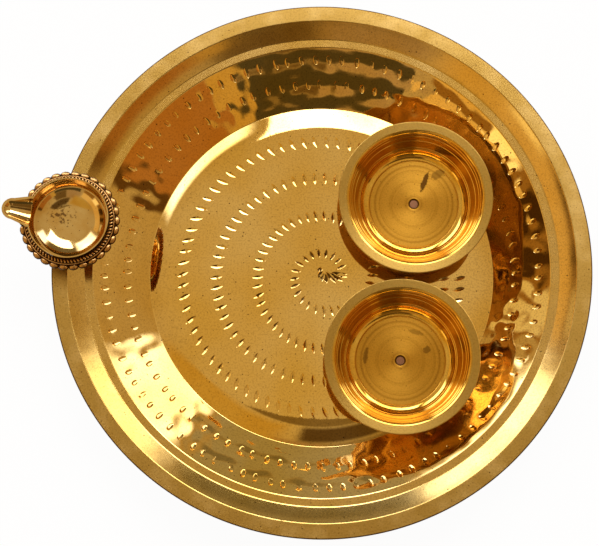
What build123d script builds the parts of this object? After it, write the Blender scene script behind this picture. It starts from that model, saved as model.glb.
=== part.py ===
import math
import os

from build123d import *

# Brass puja thali: a stepped, raised-floor tray with two bowls riveted to its
# floor and a small oil lamp screwed to its lip. Lengths are in millimetres.
# The origin is on the tray's axis, on the plane that it stands on; +Z is up.

# Tray
sheet = 1.2
rim_radius = 135.0
tray_height = 27.0
lip_width = 7.7
band_width = 8.3
band_hollow = 0.45
ledge_drop = 5.4
ledge_width = 4.15
wall_run = 26.95
shoulder_width = 10.9
shoulder_drop = 2.65
foot_wear = 0.15
lip_edge_round = 0.5

# Bowls
bowl_radius = 39.0
bowl_height = 19.8
bowl_lip_width = 4.8
bowl_lip_thickness = 1.3
bowl_lip_bevel = 0.9
bowl_wall = 1.4
bowl_bottom = 1.8
bowl_floor_radius = 23.5
bowl_cove = 4.0
bowl_edge_round = 0.4
bowl_gap = 3.3
bowl_inset = 3.2
bowl_pair_angle = -5.4

# Rivets, one through the middle of each bowl
rivet_radius = 1.25
rivet_head_radius = 2.0
rivet_head_height = 0.7
rivet_recess_gap = 0.35
rivet_recess_depth = 0.9
rivet_recess_bevel = 0.7
rivet_tail_radius = 2.2
rivet_tail_height = 1.0
rivet_washer_radius = 3.6
rivet_washer_thickness = 0.6
turning_clearance = 0.05

# Lamp
lamp_angle = 170.6
lamp_height = 21.0
lamp_radius = 20.0
lamp_setback = 4.65
lamp_lip = 0.6
lamp_band_depth = 11.0
lamp_band_taper = 1.5
lamp_ledge = 0.4
lamp_cup_depth = 14.8
lamp_floor_radius = 7.0
lamp_wall = 0.8
lamp_neck_height = 5.0
lamp_skirt_height = 4.0
lamp_foot_radius = 8.5
lamp_foot_height = 1.5
spout_reach = 32.8
spout_root_radius = 8.2
spout_tip_radius = 6.1
spout_axis_rise = 3.0
spout_wall = 1.1

# Beaded collar round the lamp
collar_spout_gap = 0.2
collar_height = 4.3
collar_rope_width = 2.2
collar_rope_fall = 0.7
collar_radius = 25.0
collar_petal_count = 30
collar_petal_margin = 0.1
collar_petal_height = 3.3
collar_petal_round = 1.3
collar_solder_gap = 0.05

# Lamp screw and its washer, below the lip
lamp_screw_radius = 1.5
lamp_screw_depth = 3.6
lamp_screw_tip_gap = 0.3
lamp_screw_head_height = 1.8
lamp_screw_head_round = 0.6
lamp_screw_slot_width = 0.8
lamp_screw_slot_depth = 0.9
lamp_washer_margin = 0.85
lamp_washer_rim = 0.4
lamp_washer_thickness = 0.6

# One overrun for every cut that has to pass a face
overrun = 5.0

# Levels and radii that follow from the sizes above
lip_inner = rim_radius - lip_width
ledge_outer = lip_inner - band_width
ledge_inner = ledge_outer - ledge_width
ledge_z = tray_height - ledge_drop
gutter_radius = ledge_inner - wall_run
gutter_z = sheet - foot_wear
floor_radius = gutter_radius - shoulder_width
floor_z = gutter_z + shoulder_drop

bowl_base_radius = bowl_floor_radius + bowl_wall
bowl_ring_radius = gutter_radius - bowl_base_radius - bowl_inset
bowl_half_spacing = bowl_radius + bowl_gap / 2
bowl_pair_reach = math.sqrt(max(bowl_ring_radius**2 - bowl_half_spacing**2, 0))
bowl_lip_z = floor_z + bowl_height
bowl_floor_z = floor_z + bowl_bottom
bowl_mouth_radius = bowl_radius - bowl_lip_width
bowl_throat_radius = bowl_mouth_radius - bowl_lip_bevel
rivet_recess_radius = rivet_head_radius + rivet_recess_gap
rivet_seat_z = bowl_floor_z - rivet_recess_depth
rivet_washer_z = floor_z - sheet

lip_middle = rim_radius - lip_width / 2
lamp_axis_radius = lip_middle - lamp_setback
lamp_lip_z = tray_height + lamp_height
lamp_washer_z = tray_height - sheet
lamp_washer_radius = lip_width / 2 - lamp_washer_margin
lamp_screw_head_radius = lamp_washer_radius - lamp_washer_rim

os.makedirs("parts", exist_ok=True)


def upright(x, y):
    """Plane of a turned section whose axis stands at x, y: sideways, then up."""
    return Plane(origin=(x, y, 0), x_dir=(1, 0, 0), z_dir=(0, -1, 0))


def standing_axis(x, y):
    return Axis((x, y, 0), (0, 0, 1))


def polar_place(radius, angle):
    return radius * math.cos(math.radians(angle)), radius * math.sin(math.radians(angle))


def bowl_place(side):
    """Centre of a bowl: out along the pair's middle line, then half a spacing to one side."""
    along_x, along_y = polar_place(bowl_pair_reach, bowl_pair_angle)
    across_x, across_y = polar_place(side * bowl_half_spacing, bowl_pair_angle + 90)
    return along_x + across_x, along_y + across_y


upper_bowl_place = bowl_place(1)
lower_bowl_place = bowl_place(-1)
screw_place = polar_place(lip_middle, lamp_angle)
lamp_place = polar_place(lamp_axis_radius, lamp_angle)

# The tray is one sheet: flat floor, shoulder falling to a gutter, sloping wall,
# ledge, hollow band and flat lip, all of the same thickness.
with BuildPart() as thali_plate:
    with BuildSketch(Plane.XZ):
        with BuildLine():
            floor = Line((0, floor_z), (floor_radius, floor_z))
            shoulder = TangentArc(floor @ 1, (gutter_radius, gutter_z), tangent=floor % 1)
            wall = Line(shoulder @ 1, (ledge_inner, ledge_z))
            ledge = Line(wall @ 1, (ledge_outer, ledge_z))
            band = SagittaArc(ledge @ 1, (lip_inner, tray_height), band_hollow)
            Line(band @ 1, (rim_radius, tray_height))
            offset(amount=sheet, side=Side.RIGHT)
        make_face()
    revolve(axis=Axis.Z)
    # The gutter's underside is worn to a narrow flat ring, which the tray stands on.
    with BuildSketch():
        Circle(rim_radius)
    extrude(amount=-overrun, mode=Mode.SUBTRACT)
    outer_edges = thali_plate.edges().filter_by(GeomType.CIRCLE).sort_by(lambda e: e.radius)[-2:]
    fillet(outer_edges, lip_edge_round)
    with BuildSketch(Plane.XY.offset(floor_z)):
        with Locations(upper_bowl_place, lower_bowl_place):
            Circle(rivet_radius + turning_clearance)
    extrude(amount=-sheet - overrun, mode=Mode.SUBTRACT)
    with BuildSketch(Plane.XY.offset(tray_height)):
        with Locations(screw_place):
            Circle(lamp_screw_radius + turning_clearance)
    extrude(amount=-sheet, mode=Mode.SUBTRACT)
thali_plate.part.label = "thali_plate"
export_step(thali_plate.part, "parts/thali_plate.step")


def make_bowl(name, place):
    """Turned bowl: flat bottom, cove, leaning wall and a flat lip, with a recess for its rivet."""
    with BuildPart() as bowl:
        with BuildSketch(upright(*place)):
            with BuildLine():
                bottom = Line((0, floor_z), (bowl_base_radius, floor_z))
                wall_foot = (bowl_base_radius + bowl_cove, bowl_floor_z + bowl_cove)
                wall_top = (bowl_throat_radius + bowl_wall, bowl_lip_z - bowl_lip_thickness)
                outside = Polyline(bottom @ 1, wall_foot, wall_top)
                under_lip = Line(outside @ 1, (bowl_radius, bowl_lip_z - bowl_lip_thickness))
                edge = Line(under_lip @ 1, (bowl_radius, bowl_lip_z))
                mouth = Line(edge @ 1, (bowl_mouth_radius, bowl_lip_z))
                bevel = Line(mouth @ 1, (bowl_throat_radius, bowl_lip_z - bowl_lip_bevel))
                inside_foot = (bowl_floor_radius + bowl_cove, bowl_floor_z + bowl_cove)
                inside = Line(bevel @ 1, inside_foot)
                cove = RadiusArc(inside @ 1, (bowl_floor_radius, bowl_floor_z), bowl_cove)
                inner_floor = Line(cove @ 1, (0, bowl_floor_z))
                Line(inner_floor @ 1, (0, floor_z))
            make_face()
        revolve(axis=standing_axis(*place))
        lip_edges = bowl.edges().filter_by(GeomType.CIRCLE).sort_by(lambda e: e.radius)[-2:]
        fillet(lip_edges, bowl_edge_round)
        with BuildSketch(upright(*place)):
            Polygon(
                (0, floor_z - overrun),
                (rivet_radius + turning_clearance, floor_z - overrun),
                (rivet_radius + turning_clearance, rivet_seat_z),
                (rivet_recess_radius, rivet_seat_z),
                (rivet_recess_radius, bowl_floor_z - rivet_recess_bevel / 2),
                (rivet_recess_radius + rivet_recess_bevel, bowl_floor_z),
                (rivet_recess_radius + rivet_recess_bevel, bowl_floor_z + overrun),
                (0, bowl_floor_z + overrun),
                align=None,
            )
        revolve(axis=standing_axis(*place), mode=Mode.SUBTRACT)
    bowl.part.label = name
    export_step(bowl.part, f"parts/{name}.step")


def make_rivet(name, place):
    """Copper rivet: flat head in the bowl's recess, shank, and a tail hammered round below the washer."""
    washer_foot_z = rivet_washer_z - rivet_washer_thickness
    with BuildPart() as rivet:
        with BuildSketch(upright(*place)):
            with BuildLine():
                head = Polyline(
                    (0, rivet_seat_z + rivet_head_height),
                    (rivet_head_radius, rivet_seat_z + rivet_head_height),
                    (rivet_head_radius, rivet_seat_z),
                    (rivet_radius, rivet_seat_z),
                    (rivet_radius, washer_foot_z),
                    (rivet_tail_radius, washer_foot_z),
                )
                tail_foot = (0, washer_foot_z - rivet_tail_height)
                tail = TangentArc(tail_foot, head @ 1, tangent=(1, 0))
                Line(tail @ 0, head @ 0)
            make_face()
        revolve(axis=standing_axis(*place))
    rivet.part.label = name
    export_step(rivet.part, f"parts/{name}.step")


def make_washer(name, place, top_z, radius, thickness, hole_radius):
    """Flat washer under the sheet, its top face against the metal above it."""
    with BuildPart() as washer:
        with BuildSketch(Plane.XY.offset(top_z)):
            with Locations(place):
                Circle(radius)
                Circle(hole_radius, mode=Mode.SUBTRACT)
        extrude(amount=-thickness)
    washer.part.label = name
    export_step(washer.part, f"parts/{name}.step")


for side, place in (("upper", upper_bowl_place), ("lower", lower_bowl_place)):
    make_bowl(f"{side}_bowl", place)
    make_rivet(f"{side}_bowl_rivet", place)
    make_washer(
        f"{side}_rivet_washer",
        place,
        rivet_washer_z,
        rivet_washer_radius,
        rivet_washer_thickness,
        rivet_radius + turning_clearance,
    )

# Inside, the lamp's cup has a tall tapered band, a ledge and a shallow dish. Outside, it
# swells from a round foot to an upright skirt, and flares a little from the neck to the lip.
cup_mouth_radius = lamp_radius - lamp_lip
cup_band_radius = cup_mouth_radius - lamp_band_taper
cup_edge_radius = cup_band_radius - lamp_ledge
cup_edge_z = lamp_lip_z - lamp_band_depth
cup_floor_z = lamp_lip_z - lamp_cup_depth
neck_z = lamp_lip_z - lamp_neck_height
skirt_foot_z = neck_z - lamp_skirt_height
neck_radius = cup_mouth_radius - lamp_band_taper * lamp_neck_height / lamp_band_depth + lamp_wall
foot_top_z = tray_height + lamp_foot_height
outward = polar_place(1, lamp_angle)
spout_z = lamp_lip_z + spout_axis_rise
spout_plane = Plane(origin=(*lamp_place, spout_z), x_dir=(*outward, 0), z_dir=(0, 0, 1))
spout_axis = Axis((*lamp_place, spout_z), (*outward, 0))


def spout_half(wall, start):
    """Half outline of the spout in plan: a straight root, then a taper that ends in a round tip."""
    tip_radius = spout_tip_radius - wall
    root_radius = spout_root_radius - wall
    tip_x = spout_reach - math.sqrt(spout_tip_radius**2 - spout_axis_rise**2)
    with BuildSketch() as half:
        with BuildLine():
            side = Polyline(
                (start, 0), (start, root_radius), (cup_mouth_radius, root_radius), (tip_x, tip_radius)
            )
            tip = RadiusArc(side @ 1, (tip_x + tip_radius, 0), tip_radius)
            Line(tip @ 1, side @ 0)
        make_face()
    return half.sketch


with BuildPart() as lamp_cup:
    with BuildSketch(upright(*lamp_place)):
        with BuildLine():
            foot = Polyline((0, tray_height), (lamp_foot_radius, tray_height), (lamp_foot_radius, foot_top_z))
            bulge = TangentArc((neck_radius, skirt_foot_z), foot @ 1, tangent=(0, -1))
            skirt = Line(bulge @ 0, (neck_radius, neck_z))
            Polyline(skirt @ 1, (lamp_radius, lamp_lip_z), (0, lamp_lip_z), (0, tray_height))
        make_face()
    revolve(axis=standing_axis(*lamp_place))
    with BuildSketch(spout_plane):
        add(spout_half(0, cup_edge_radius))
    revolve(axis=spout_axis)
    with BuildSketch(Plane.XY.offset(lamp_lip_z)):
        with Locations(lamp_place):
            Circle(spout_reach + overrun)
    extrude(amount=spout_axis_rise + spout_root_radius + overrun, mode=Mode.SUBTRACT)
    with BuildSketch(upright(*lamp_place)):
        with BuildLine():
            band_side = Polyline(
                (0, lamp_lip_z),
                (cup_mouth_radius, lamp_lip_z),
                (cup_band_radius, cup_edge_z),
                (cup_edge_radius, cup_edge_z),
            )
            dish = TangentArc((lamp_floor_radius, cup_floor_z), band_side @ 1, tangent=(1, 0))
            Polyline(dish @ 0, (0, cup_floor_z), band_side @ 0)
        make_face()
    revolve(axis=standing_axis(*lamp_place), mode=Mode.SUBTRACT)
    with BuildSketch(spout_plane):
        add(spout_half(spout_wall, 0))
    revolve(axis=spout_axis, mode=Mode.SUBTRACT)
    with BuildSketch(Plane.XY.offset(tray_height)):
        with Locations(screw_place):
            Circle(lamp_screw_radius + turning_clearance)
    extrude(amount=lamp_screw_depth + lamp_screw_tip_gap, mode=Mode.SUBTRACT)
lamp_cup.part.label = "lamp_cup"
export_step(lamp_cup.part, "parts/lamp_cup.step")

# The collar is soldered round the cup's skirt, just below the spout: a rope slope above,
# round petals below.
collar_top_z = spout_z - spout_root_radius - collar_spout_gap
collar_foot_z = collar_top_z - collar_height
collar_bore_radius = neck_radius + collar_solder_gap
petal_radius = (collar_radius - collar_bore_radius - collar_petal_margin) / 2
petal_ring_radius = collar_radius - petal_radius

with BuildPart() as petal:
    with BuildSketch():
        Circle(petal_radius)
    extrude(amount=collar_petal_height)
    fillet(petal.faces().sort_by(Axis.Z)[-1].edges(), collar_petal_round)

with BuildPart() as lamp_collar:
    with BuildSketch(upright(*lamp_place)):
        Polygon(
            (collar_bore_radius, collar_foot_z),
            (petal_ring_radius, collar_foot_z),
            (petal_ring_radius, collar_foot_z + collar_petal_height / 2),
            (collar_bore_radius + collar_rope_width, collar_top_z - collar_rope_fall),
            (collar_bore_radius, collar_top_z),
            align=None,
        )
    revolve(axis=standing_axis(*lamp_place))
    with Locations(Location((*lamp_place, collar_foot_z))):
        with PolarLocations(petal_ring_radius, collar_petal_count):
            add(petal.part)
lamp_collar.part.label = "lamp_collar"
export_step(lamp_collar.part, "parts/lamp_collar.step")

make_washer(
    "lamp_screw_washer",
    screw_place,
    lamp_washer_z,
    lamp_washer_radius,
    lamp_washer_thickness,
    lamp_screw_radius + turning_clearance,
)

# Slotted screw: its head is below the washer and its shank ends inside the lamp's foot.
screw_seat_z = lamp_washer_z - lamp_washer_thickness
with BuildPart() as lamp_screw:
    with BuildSketch(Plane.XY.offset(screw_seat_z)):
        with Locations(screw_place):
            Circle(lamp_screw_radius)
    extrude(amount=lamp_washer_thickness + sheet + lamp_screw_depth)
    with BuildSketch(Plane.XY.offset(screw_seat_z)):
        with Locations(screw_place):
            Circle(lamp_screw_head_radius)
    extrude(amount=-lamp_screw_head_height)
    fillet(lamp_screw.faces().sort_by(Axis.Z)[0].edges(), lamp_screw_head_round)
    with BuildSketch(Plane.XY.offset(screw_seat_z - lamp_screw_head_height)):
        with Locations(Location((*screw_place, 0), (0, 0, lamp_angle))):
            Rectangle(2 * lamp_screw_head_radius, lamp_screw_slot_width)
    extrude(amount=lamp_screw_slot_depth, mode=Mode.SUBTRACT)
lamp_screw.part.label = "lamp_screw"
export_step(lamp_screw.part, "parts/lamp_screw.step")
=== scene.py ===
# %% [markdown]
# # A puja thali in polished brass
#
# A puja thali is the round tray that carries the things for a home ritual. This one is spun
# from one brass sheet. Two turned bowls are riveted to its floor, and a small spouted oil lamp
# is screwed to its lip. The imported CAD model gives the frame: where each piece is and how it
# moves. This lesson dresses that frame, piece by piece, with finer meshes and real finishes.

# %% Load the frame
import math
import random

import bmesh
import bpy
from mathutils import Matrix, Vector, noise
from mathutils.kdtree import KDTree


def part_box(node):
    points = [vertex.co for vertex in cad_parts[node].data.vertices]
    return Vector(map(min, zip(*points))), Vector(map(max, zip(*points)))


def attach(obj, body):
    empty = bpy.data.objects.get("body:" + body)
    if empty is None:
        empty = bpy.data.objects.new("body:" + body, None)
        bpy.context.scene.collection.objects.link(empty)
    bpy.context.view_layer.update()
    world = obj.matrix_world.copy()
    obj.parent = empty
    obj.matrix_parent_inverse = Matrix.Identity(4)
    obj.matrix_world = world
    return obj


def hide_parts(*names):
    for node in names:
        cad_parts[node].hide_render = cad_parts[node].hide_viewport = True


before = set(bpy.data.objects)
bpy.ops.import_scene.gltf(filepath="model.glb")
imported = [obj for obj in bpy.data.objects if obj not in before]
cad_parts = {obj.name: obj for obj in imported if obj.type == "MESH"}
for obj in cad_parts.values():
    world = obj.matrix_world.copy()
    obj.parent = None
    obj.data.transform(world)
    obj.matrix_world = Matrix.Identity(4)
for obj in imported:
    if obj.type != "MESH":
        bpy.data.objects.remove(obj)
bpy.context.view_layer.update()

scene = bpy.context.scene
scene.view_settings.view_transform = "Standard"

# %% [markdown]
# ## Places, read from the frame
#
# Every piece stands where its CAD node stands, so the places are read and not typed. A node's
# box gives the middle of a round piece and its top. All shapes below are written in
# millimetres, and one factor turns them to Blender's metres.

# %% Places in millimetres
MM = 0.001


def middle_of(node):
    """Middle of a node's box, seen from above, in millimetres."""
    low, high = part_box(node)
    return Vector((low.x + high.x, low.y + high.y, 0)) / 2 / MM


def top_of(node):
    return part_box(node)[1].z / MM


rim_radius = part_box("thali_plate")[1].x / MM
tray_height = top_of("thali_plate")
bowl_places = {name: middle_of(name) for name in ("upper_bowl", "lower_bowl")}
lamp_place = middle_of("lamp_collar")
lamp_heading = math.atan2(lamp_place.y, lamp_place.x)
lamp_lip = top_of("lamp_cup")
screw_place = middle_of("lamp_screw")
print(f"rim {rim_radius:.1f} mm, tray {tray_height:.1f} mm high, lamp lip at {lamp_lip:.1f} mm")

# %% [markdown]
# ## The camera
#
# The photograph looks almost straight down from arm's length, a little from the front. A long
# lens keeps the circles nearly round. The place and tilt below make the rim, the bowls' lips
# and the lamp fall where the photograph has them.

# %% Camera
camera_data = bpy.data.cameras.new("camera")
camera_data.lens = 111.95
camera_data.sensor_width = 36
camera_data.sensor_fit = "HORIZONTAL"
camera = bpy.data.objects.new("camera", camera_data)
camera.location = Vector((-11.2, -161.5, 942.2)) * MM
camera.rotation_euler = (math.radians(9.806), 0, 0)
scene.collection.objects.link(camera)
scene.camera = camera
print("camera at", [round(value, 3) for value in camera.location])

# %% [markdown]
# ## Two small helpers for materials
#
# Colours are written as the hex values that a colour picker shows, and shaders want linear
# light, so one function turns the first into the second. One more function adds a node, sets
# it and links it, because every material below is a short chain of such nodes.


# %% Helpers for materials
def linear(hex_colour):
    """Linear colour with alpha from an sRGB hex value."""
    shares = [int(hex_colour[i:i + 2], 16) / 255 for i in (1, 3, 5)]
    return [s / 12.92 if s <= 0.04045 else ((s + 0.055) / 1.055) ** 2.4 for s in shares] + [1.0]


def add_node(tree, kind, inputs=None, **settings):
    """New node; an input that is given a socket is linked, any other value is set."""
    made = tree.nodes.new(kind)
    for name, value in settings.items():
        setattr(made, name, value)
    for key, value in (inputs or {}).items():
        if isinstance(value, bpy.types.NodeSocket):
            tree.links.new(value, made.inputs[key])
        else:
            made.inputs[key].default_value = value
    return made


# %% [markdown]
# ## The studio
#
# Polished brass has no colour of its own to show: it shows the room, tinted gold. The room here
# is a dim pale studio with soft boxes behind the object and a dark side in front, as the
# reflections in the photograph tell. It could be built from lamps, but lamps that stand close
# would slide across the tray, so the panels are painted on the far world by their directions.
# Each panel is a range of headings, counted from +X towards +Y, and of heights over the horizon.

# %% Studio world
STUDIO_PANELS = (
    # heading from, to, height from, to, soft edge (degrees), colour, strength
    # The dark side in front, with paler and browner parts above it.
    (-118, -58, -12, 33, 2.0, "#5E5030", 0.82),
    (-122, -88, 33, 60, 5.0, "#C09E71", 0.90),
    (-88, -56, 33, 58, 5.0, "#86683A", 0.75),
    (-100, -25, 60, 82, 8.0, "#7A5E36", 0.62),
    # Amber high at the left, and the shade overhead round the camera.
    (190, 250, 50, 80, 12.0, "#D4AC55", 0.95),
    (-165, -15, 83.5, 91, 3.0, "#A08452", 0.70),
    # Warm parts of the room at the front right, and a brown post beside them.
    (-52, -16, -12, 40, 4.0, "#C98842", 0.80),
    (-18, -11.5, 8, 38, 4.0, "#7A5426", 0.65),
    (-62, -52, -12, 40, 3.0, "#E3B45A", 0.85),
    # The left side of the room: brown below, bright above, with a few patches.
    (150, 235, -12, 29.5, 3.0, "#B98337", 0.70),
    (150, 235, 29.5, 48, 3.0, "#EBC174", 1.10),
    (199, 212, 18, 34, 4.0, "#FFE9B0", 1.60),
    (180, 191, 12, 30, 4.0, "#6A4416", 0.45),
    (168.5, 175, 12, 30, 3.0, "#6A4416", 0.50),
    (153, 164, 10, 27, 4.0, "#F0D8A0", 0.95),
    # The shade behind, below the soft boxes.
    (60, 108, -12, 17, 4.0, "#DACBA7", 0.60),
    (60, 108, 17, 38, 4.0, "#C9B78C", 0.42),
    # A window, the large soft box and the two at its left.
    (32, 55, 6, 42, 7.0, "#FFFFFF", 2.8),
    (50, 103, 38, 66, 1.5, "#FFFFFF", 6.0),
    (110, 143, 16, 53, 8.0, "#F7FAFF", 4.0),
    (112, 150, -6, 11, 3.0, "#F7FAFF", 2.4),
)

world = bpy.data.worlds.new("studio")
scene.world = world
world.use_nodes = True
sky = world.node_tree
sky.nodes.clear()
direction = add_node(sky, "ShaderNodeTexCoord").outputs["Generated"]
height = add_node(sky, "ShaderNodeSeparateXYZ", {0: direction}).outputs["Z"]
height = add_node(sky, "ShaderNodeMath", {0: height}, operation="ARCSINE").outputs[0]
level = add_node(sky, "ShaderNodeVectorMath", {0: direction, 1: (1, 1, 0)}, operation="MULTIPLY")
level = add_node(sky, "ShaderNodeVectorMath", {0: level.outputs[0]}, operation="NORMALIZE").outputs[0]
ramp = add_node(sky, "ShaderNodeMapRange", {0: height, 1: 0.0, 2: math.pi / 2}).outputs[0]
light = add_node(sky, "ShaderNodeMix", {0: ramp, 6: linear("#BB9A5D"), 7: linear("#D8C08F")},
                 data_type="RGBA").outputs[2]
for start, stop, low, high, edge, colour, strength in STUDIO_PANELS:
    heading, half = math.radians((start + stop) / 2), math.radians((stop - start) / 2)
    low, high, edge = math.radians(low), math.radians(high), math.radians(edge) / 2
    facing = (math.cos(heading), math.sin(heading), 0)
    turn = add_node(sky, "ShaderNodeVectorMath", {0: level, 1: facing}, operation="DOT_PRODUCT").outputs[1]
    turn = add_node(sky, "ShaderNodeMath", {0: turn}, operation="ARCCOSINE").outputs[0]
    mask = 1.0
    for value, inside, outside in ((turn, half - edge, half + edge),
                                   (height, low + edge, low - edge),
                                   (height, high - edge, high + edge)):
        side = add_node(sky, "ShaderNodeMapRange", {0: value, 1: outside, 2: inside},
                        interpolation_type="SMOOTHSTEP").outputs[0]
        mask = add_node(sky, "ShaderNodeMath", {0: mask, 1: side}, operation="MULTIPLY").outputs[0]
    shine = [channel * strength for channel in linear(colour)[:3]] + [1.0]
    light = add_node(sky, "ShaderNodeMix", {0: mask, 6: light, 7: shine}, data_type="RGBA").outputs[2]
background = add_node(sky, "ShaderNodeBackground", {"Color": light, "Strength": 1.0})
add_node(sky, "ShaderNodeOutputWorld", {"Surface": background.outputs[0]})
print("studio panels:", len(STUDIO_PANELS))

# %% [markdown]
# ## The floor
#
# The tray lies on white paper. A white diffuse sheet alone would come out grey in the shaded
# parts, so rays from the camera, and rays that bounce off metal, see it mixed with plain white.
# The diffuse part that is left still takes the tray's soft shadow.

# %% Floor
paper = bpy.data.materials.new("white_paper_floor")
paper.use_nodes = True
tree = paper.node_tree
tree.nodes.clear()
path = add_node(tree, "ShaderNodeLightPath")
seen = path.outputs["Is Camera Ray"]
for kind in ("Is Glossy Ray", "Is Transmission Ray"):
    seen = add_node(tree, "ShaderNodeMath", {0: seen, 1: path.outputs[kind]}, operation="MAXIMUM").outputs[0]
share = add_node(tree, "ShaderNodeMath", {0: seen, 1: 0.96}, operation="MULTIPLY").outputs[0]
matt = add_node(tree, "ShaderNodeBsdfDiffuse", {"Color": linear("#F4F3F1")})
glow = add_node(tree, "ShaderNodeEmission", {"Color": linear("#FFFFFF"), "Strength": 1.0})
mixed = add_node(tree, "ShaderNodeMixShader", {0: share, 1: matt.outputs[0], 2: glow.outputs[0]})
add_node(tree, "ShaderNodeOutputMaterial", {"Surface": mixed.outputs[0]})

bm = bmesh.new()
bmesh.ops.create_grid(bm, x_segments=1, y_segments=1, size=6)
floor_mesh = bpy.data.meshes.new("floor")
bm.to_mesh(floor_mesh)
bm.free()
floor_mesh.materials.append(paper)
floor = bpy.data.objects.new("floor", floor_mesh)
scene.collection.objects.link(floor)
print("floor laid")

# %% [markdown]
# ## Brass of the tray
#
# The tray is yellow brass, spun over a form and polished by hand. Its floor and wall are near
# mirrors. The lip and the ledge, which hands touch, are satin from wear, and the underside keeps
# a dull skin. The cut edge of the sheet is painted dark: a painted shade for the dark line that
# the rounded rim shows. A mirror this old is never quite flat: slow waves bend what it shows,
# small pits hold dirt, and the yellow drifts between pale and amber. The zones go by the distance
# from the tray's axis and by the way that the surface faces. The deep cuts of the floor are darker
# towards their bottoms, so those are found by their depth. What the other metals need too, such
# as dots of dirt or a drift between two tones, is written as a function.

# %% Shared by the metals
# The dark colour below serves dirt and tarnish, and on the tray also the painted shade at the rim's edge.
SATIN_BRASS, TARNISH_AND_SHADE = "#B4914A", "#4A2C10"


def start_material(name):
    """Empty material; returns it with its node tree."""
    material = bpy.data.materials.new(name)
    material.use_nodes = True
    material.node_tree.nodes.clear()
    return material, material.node_tree


def spots(tree, place, spacing, size, share):
    """Mask of scattered dots: their spacing and size in millimetres, and the share that is kept."""
    cells = add_node(tree, "ShaderNodeTexVoronoi", {"Vector": place, "Scale": 1 / (spacing * MM)})
    radius = size / spacing / 2
    dots = add_node(tree, "ShaderNodeMapRange", {0: cells.outputs["Distance"], 1: radius, 2: radius * 0.5})
    kept = add_node(tree, "ShaderNodeSeparateXYZ", {0: cells.outputs["Color"]}).outputs[0]
    kept = add_node(tree, "ShaderNodeMath", {0: kept, 1: share}, operation="LESS_THAN").outputs[0]
    return add_node(tree, "ShaderNodeMath", {0: dots.outputs[0], 1: kept}, operation="MULTIPLY").outputs[0]


def axis_distance(tree, place):
    """Distance of a point from the axis that its coordinates are centred on, in millimetres."""
    level = add_node(tree, "ShaderNodeVectorMath", {0: place, 1: (1 / MM, 1 / MM, 0)}, operation="MULTIPLY")
    return add_node(tree, "ShaderNodeVectorMath", {0: level.outputs[0]}, operation="LENGTH").outputs[1]


def facing_down(tree):
    """Mask of the faces that look down: the underside of a sheet or the outside of a bowl."""
    normal = add_node(tree, "ShaderNodeTexCoord").outputs["Normal"]
    upward = add_node(tree, "ShaderNodeSeparateXYZ", {0: normal}).outputs["Z"]
    return add_node(tree, "ShaderNodeMapRange", {0: upward, 1: -0.10, 2: -0.25}).outputs[0]


def drifting_tone(tree, place, size, detail, dark, pale):
    """Colour that drifts between two tones, in clouds of a size in millimetres."""
    clouds = add_node(tree, "ShaderNodeTexNoise",
                      {"Vector": place, "Scale": 1 / (size * MM), "Detail": detail}).outputs[0]
    drift = add_node(tree, "ShaderNodeMapRange", {0: clouds, 1: 0.35, 2: 0.65}).outputs[0]
    return add_node(tree, "ShaderNodeMix", {0: drift, 6: linear(dark), 7: linear(pale)},
                    data_type="RGBA").outputs[2]


def finish_metal(tree, colour, roughness, reliefs, **more):
    """Metal with reliefs laid one on another: a height, a strength and a depth in millimetres each."""
    normal = {}
    for height, strength, depth in reliefs:
        bump = add_node(tree, "ShaderNodeBump",
                        {"Height": height, "Strength": strength, "Distance": depth * MM, **normal})
        normal = {"Normal": bump.outputs[0]}
    metal = add_node(tree, "ShaderNodeBsdfPrincipled",
                     {"Base Color": colour, "Metallic": 1.0, "Roughness": roughness, **normal, **more})
    add_node(tree, "ShaderNodeOutputMaterial", {"Surface": metal.outputs[0]})


# %% Tray brass
PALE_BRASS, AMBER_BRASS, WORN_BRASS = "#F2D08A", "#EABF63", "#C6A563"
LEDGE_INNER, LEDGE_OUTER, LIP_INNER = 114.85, 119.0, 127.3
WALL_INNER = 88.5
# Painted shade on the rim's cut edge, for the dark line that its rounded edge shows, begins and is full at
# these distances from the rim.
RIM_SHADE_BEGIN, RIM_SHADE_FULL = 0.65, 0.5
FLOOR_Z, CROWN_RADIUS, MIDDLE_REACH, INNER_REACH = 3.7, 69.0, 41.0, 17.0
# Distance from the axis up to which the cuts are darkened, and the depths where the darkening begins and is
# full.
DARKENED_CUTS = ((CROWN_RADIUS, 0.22, 0.40), (MIDDLE_REACH, 0.14, 0.34), (INNER_REACH, 0.07, 0.22))


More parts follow.
